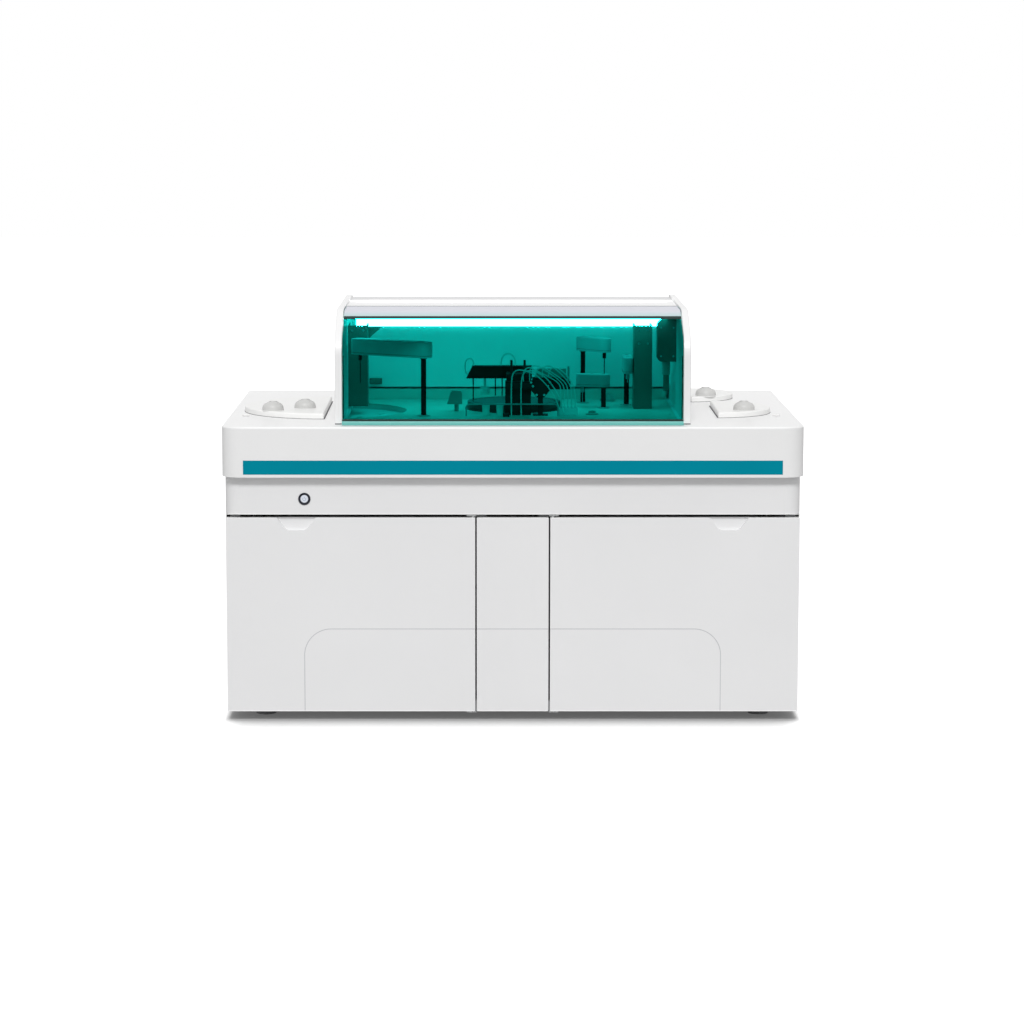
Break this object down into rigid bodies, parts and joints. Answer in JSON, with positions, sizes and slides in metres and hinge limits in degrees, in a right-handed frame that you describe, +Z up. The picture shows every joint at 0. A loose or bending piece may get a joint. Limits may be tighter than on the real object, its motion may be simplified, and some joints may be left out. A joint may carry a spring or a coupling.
{
  "type": "chemistry analyzer",
  "caption": "Floor-standing chemistry analyzer with a lifting see-through hood over pipetting arms and a reaction rotor, lidded carousels and a cabinet with hinged doors.",
  "frame": {"origin": "on the floor under the middle of the machine's overall box", "axes": "+X to the machine's right side as seen from the front, +Y to its back, +Z up"},
  "size_m": [1.8, 1.15, 1.274],
  "materials": {
    "body_white": "satin white sheet steel",
    "deck_white": "satin white moulding",
    "stripe_blue": "blue-green band",
    "frame_grey": "grey powder coat",
    "lid_white": "satin white moulding",
    "cover_teal": "tinted clear acrylic",
    "lip_teal": "tinted clear acrylic",
    "lamp_white": "glowing diffuser",
    "inner_white": "white powder coat",
    "arm_grey": "fine-grained moulding",
    "shaft_black": "black coated steel",
    "steel": "brushed",
    "black_plastic": "matt black",
    "post_grey": "grey powder coat",
    "tub_grey": "grey moulding",
    "rotor_black": "dark moulding",
    "bottle_white": "translucent white bottle",
    "tube_clear": "clear",
    "rubber_black": "matt",
    "tank_white": "natural blow-moulded plastic",
    "supply_metal": "bare zinc-plated sheet",
    "button_white": "satin",
    "bezel_black": "gloss moulding"
  },
  "bodies": {
    "machine": {"levelling_feet": "rubber_black", "base_tray": "frame_grey", "chassis_frame": "frame_grey", "left_side_panel": "body_white", "right_side_panel": "body_white", "rear_panel": "body_white", "centre_panel": "body_white", "middle_fascia": "body_white", "button_bezel": "bezel_black", "module_plate": "frame_grey", "deck_shell": "deck_white", "accent_strip": "stripe_blue", "left_lid": "lid_white", "front_right_lid": "lid_white", "rear_right_lid": "lid_white", "left_cheek": "deck_white", "right_cheek": "deck_white", "hood_top_panel": "body_white", "hood_rear_panel": "body_white", "inner_back_wall": "inner_white", "light_bar": "lamp_white", "work_deck": "inner_white", "shaft_bushings": "steel", "left_tub": "tub_grey", "front_right_tub": "tub_grey", "rear_right_tub": "tub_grey", "reaction_bath": "tub_grey", "post_plates": "post_grey", "guard_rail": "steel", "rinse_cup": "post_grey", "wash_stand": "black_plastic", "motor_housing": "post_grey", "door_pivots": "steel", "cover_hinge_pin": "steel", "fluid_tanks": "tank_white", "pump_unit": "supply_metal", "power_supply": "supply_metal"},
    "left_door_body": {"left_door": "body_white"},
    "right_door_body": {"right_door": "body_white"},
    "button_body": {"power_button": "button_white"},
    "cover_body": {"hood_cover": "cover_teal", "cover_lip": "lip_teal", "cover_hinge_leaves": "steel"},
    "left_carousel_body": {"left_carousel": "rotor_black", "reagent_bottles": "bottle_white"},
    "front_right_carousel_body": {"front_right_carousel": "rotor_black", "sample_tubes": "tube_clear"},
    "rear_right_carousel_body": {"rear_right_carousel": "rotor_black"},
    "cuvette_rotor_body": {"cuvette_rotor": "rotor_black"},
    "wash_head_body": {"wash_head": "black_plastic"},
    "sample_lift_body": {"sample_shaft": "shaft_black"},
    "sample_arm_body": {"sample_arm": "arm_grey", "sample_probe": "steel"},
    "reagent_lift_body": {"reagent_shaft": "shaft_black"},
    "reagent_arm_body": {"reagent_arm": "arm_grey", "reagent_probe": "steel"},
    "dispense_lift_body": {"dispense_shaft": "shaft_black"},
    "dispense_arm_body": {"dispense_arm": "arm_grey"},
    "mixer_lift_body": {"mixer_shaft": "shaft_black"},
    "mixer_arm_body": {"mixer_arm": "arm_grey"}
  },
  "joints": [
    {"name": "cover_hinge", "type": "hinge", "parent": "machine", "child": "cover_body", "pos_m": [0, -0.125, 1.261], "axis": [-1, 0, 0], "range_deg": [0, 70]},
    {"name": "left_door_hinge", "type": "hinge", "parent": "machine", "child": "left_door_body", "pos_m": [-0.1235, -0.537, 0.335], "axis": [0, 0, 1], "range_deg": [0, 90]},
    {"name": "right_door_hinge", "type": "hinge", "parent": "machine", "child": "right_door_body", "pos_m": [0.1235, -0.537, 0.335], "axis": [0, 0, -1], "range_deg": [0, 90]},
    {"name": "power_button_press", "type": "slide", "parent": "machine", "child": "button_body", "axis": [0, 1, 0], "range_m": [0, 0.003], "stiffness_N_per_m": 600, "springref_m": -0.002},
    {"name": "left_carousel_spin", "type": "hinge", "parent": "machine", "child": "left_carousel_body", "pos_m": [-0.591, -0.082, 0.8], "axis": [0, 0, 1], "continuous": true},
    {"name": "front_right_carousel_spin", "type": "hinge", "parent": "machine", "child": "front_right_carousel_body", "pos_m": [0.648, -0.134, 0.8], "axis": [0, 0, 1], "continuous": true},
    {"name": "rear_right_carousel_spin", "type": "hinge", "parent": "machine", "child": "rear_right_carousel_body", "pos_m": [0.595, 0.325, 0.8], "axis": [0, 0, 1], "continuous": true},
    {"name": "cuvette_rotor_spin", "type": "hinge", "parent": "machine", "child": "cuvette_rotor_body", "pos_m": [0.008, -0.016, 0.93], "axis": [0, 0, 1], "continuous": true},
    {"name": "wash_head_lift", "type": "slide", "parent": "machine", "child": "wash_head_body", "axis": [0, 0, 1], "range_m": [0, 0.045]},
    {"name": "sample_lift", "type": "slide", "parent": "machine", "child": "sample_lift_body", "axis": [0, 0, -1], "range_m": [0, 0.06]},
    {"name": "sample_swing", "type": "hinge", "parent": "sample_lift_body", "child": "sample_arm_body", "pos_m": [-0.281, -0.258, 1.113], "axis": [0, 0, 1], "range_deg": [-102, 0]},
    {"name": "reagent_lift", "type": "slide", "parent": "machine", "child": "reagent_lift_body", "axis": [0, 0, -1], "range_m": [0, 0.06]},
    {"name": "reagent_swing", "type": "hinge", "parent": "reagent_lift_body", "child": "reagent_arm_body", "pos_m": [0.237, 0.15, 1.102], "axis": [0, 0, 1], "range_deg": [-90, 40]},
    {"name": "dispense_lift", "type": "slide", "parent": "machine", "child": "dispense_lift_body", "axis": [0, 0, 1], "range_m": [0, 0.05]},
    {"name": "dispense_swing", "type": "hinge", "parent": "dispense_lift_body", "child": "dispense_arm_body", "pos_m": [0.299, -0.013, 0.997], "axis": [0, 0, 1], "range_deg": [-40, 60]},
    {"name": "mixer_lift", "type": "slide", "parent": "machine", "child": "mixer_lift_body", "axis": [0, 0, -1], "range_m": [0, 0.06]},
    {"name": "mixer_swing", "type": "hinge", "parent": "mixer_lift_body", "child": "mixer_arm_body", "pos_m": [0.378, 0.081, 1.041], "axis": [0, 0, 1], "range_deg": [-60, 0]}
  ]
}
